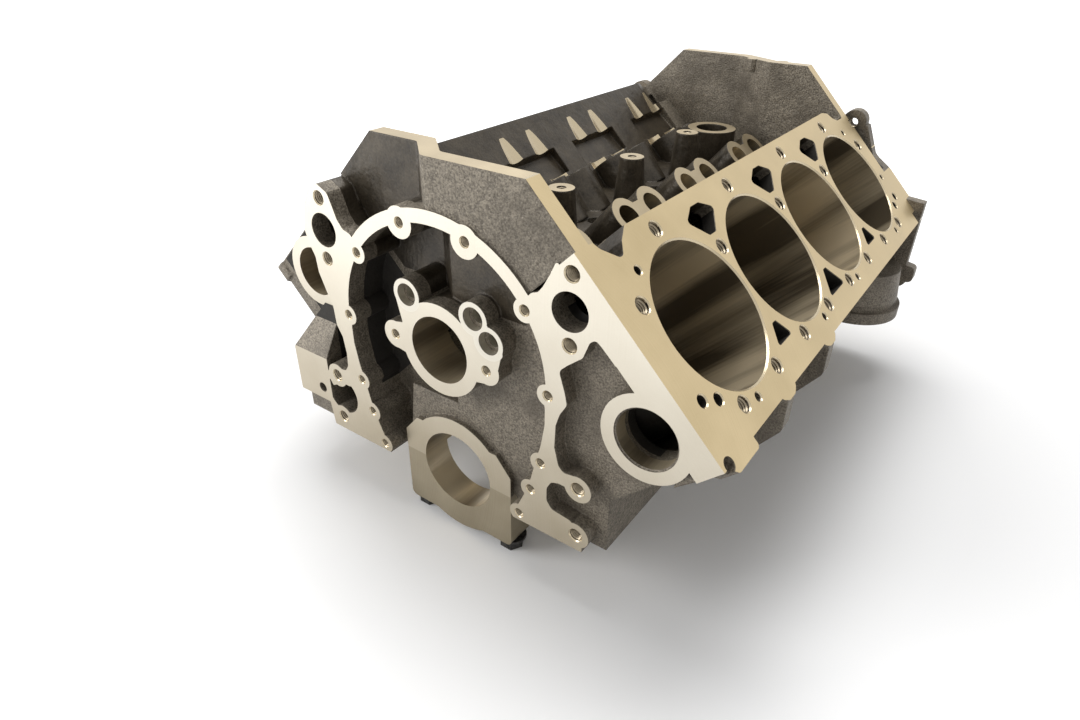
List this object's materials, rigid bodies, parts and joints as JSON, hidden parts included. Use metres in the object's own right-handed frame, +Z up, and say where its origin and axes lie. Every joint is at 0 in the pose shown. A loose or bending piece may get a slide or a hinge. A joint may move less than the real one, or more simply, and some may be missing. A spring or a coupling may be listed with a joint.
{
  "type": "engine block",
  "caption": "Bare cast iron engine block of a V engine with staggered banks, open cylinders, cam and lifter bores, and its main bearing caps bolted on below the crank axis",
  "frame": {"origin": "On the crank axis, in the front face of the front main bearing.", "axes": "+Y runs along the crank axis to the rear, +Z is up, +X points to the right bank as seen from the front."},
  "size_m": [0.444, 0.5143, 0.3108],
  "materials": {
    "casting": "matte",
    "caps": "satin",
    "bolts": "satin"
  },
  "bodies": {
    "root": {"block": "casting", "main_cap_1": "caps", "main_cap_2": "caps", "main_cap_3": "caps", "main_cap_4": "caps", "main_cap_5": "caps", "main_bolt_1_left": "bolts", "main_bolt_1_right": "bolts", "main_bolt_2_left": "bolts", "outer_bolt_2_left": "bolts", "main_bolt_2_right": "bolts", "outer_bolt_2_right": "bolts", "main_bolt_3_left": "bolts", "outer_bolt_3_left": "bolts", "main_bolt_3_right": "bolts", "outer_bolt_3_right": "bolts", "main_bolt_4_left": "bolts", "outer_bolt_4_left": "bolts", "main_bolt_4_right": "bolts", "outer_bolt_4_right": "bolts", "main_bolt_5_left": "bolts", "main_bolt_5_right": "bolts"}
  },
  "joints": []
}
